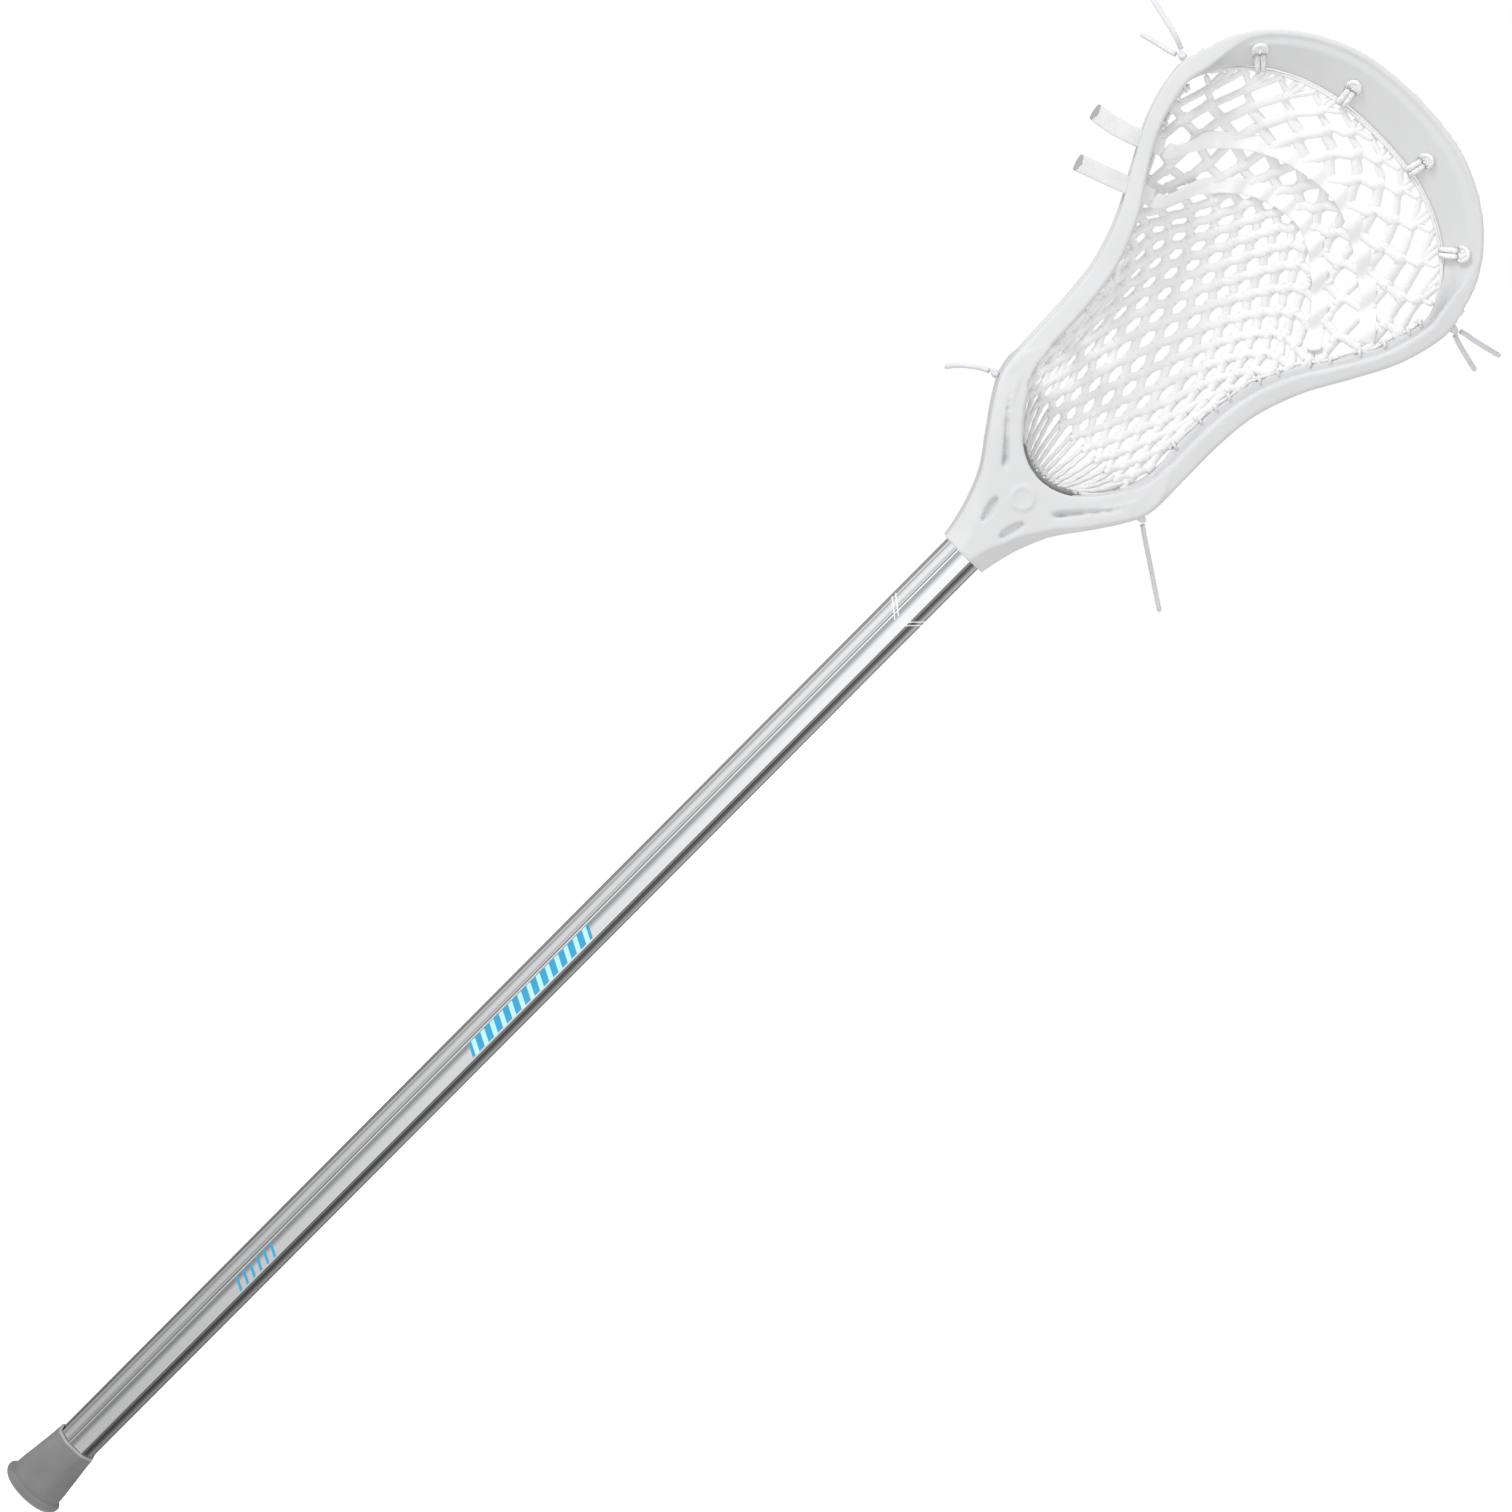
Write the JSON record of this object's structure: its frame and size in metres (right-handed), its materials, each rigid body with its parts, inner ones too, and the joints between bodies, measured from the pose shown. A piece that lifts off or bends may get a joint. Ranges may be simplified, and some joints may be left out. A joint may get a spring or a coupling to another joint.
{
  "type": "lacrosse stick",
  "caption": "Strung lacrosse stick: eight-sided metal shaft, moulded head with a scoop and open side walls, mesh pocket with laces, rubber end cap.",
  "frame": {"origin": "centre of the flat end face of the end cap, on the shaft's axis", "axes": "+Z along the shaft towards the head and the lip of the scoop; -Y the way the open face of the head looks; +X to the right of someone who looks at the open face"},
  "size_m": [0.266, 0.0739, 1.048],
  "materials": {
    "head_plastic": "satin light grey-white moulded nylon",
    "shaft_metal": "bright brushed and clear-coated",
    "cap_rubber": "matt mid grey",
    "screw_steel": "zinc plated",
    "foam": "closed-cell foam pad",
    "mesh": "white knitted nylon mesh",
    "string": "white braided nylon",
    "lace": "white flat woven nylon"
  },
  "bodies": {
    "stick": {"head": "head_plastic", "shaft": "shaft_metal", "head_screw": "screw_steel", "ball_stop": "foam", "mesh_pocket": "mesh", "top_string": "string", "bottom_string": "string", "sidewall_string_left": "string", "sidewall_string_right": "string", "shooting_lace_upper": "lace", "shooting_lace_lower": "lace", "top_knot_left": "string", "top_knot_right": "string", "bottom_knot_left": "string", "bottom_knot_right": "string", "top_string_tail_left": "string", "top_string_tail_right": "string", "sidewall_string_tail_left": "string", "sidewall_string_tail_right": "string", "bottom_string_tail_left": "string", "bottom_string_tail_right": "string", "upper_lace_tail": "lace", "lower_lace_tail": "lace"},
    "cap": {"end_cap": "cap_rubber"}
  },
  "joints": [
    {"name": "end_cap_pull", "type": "slide", "parent": "stick", "child": "cap", "axis": [0, 0, -1], "range_m": [0, 0.045]}
  ]
}
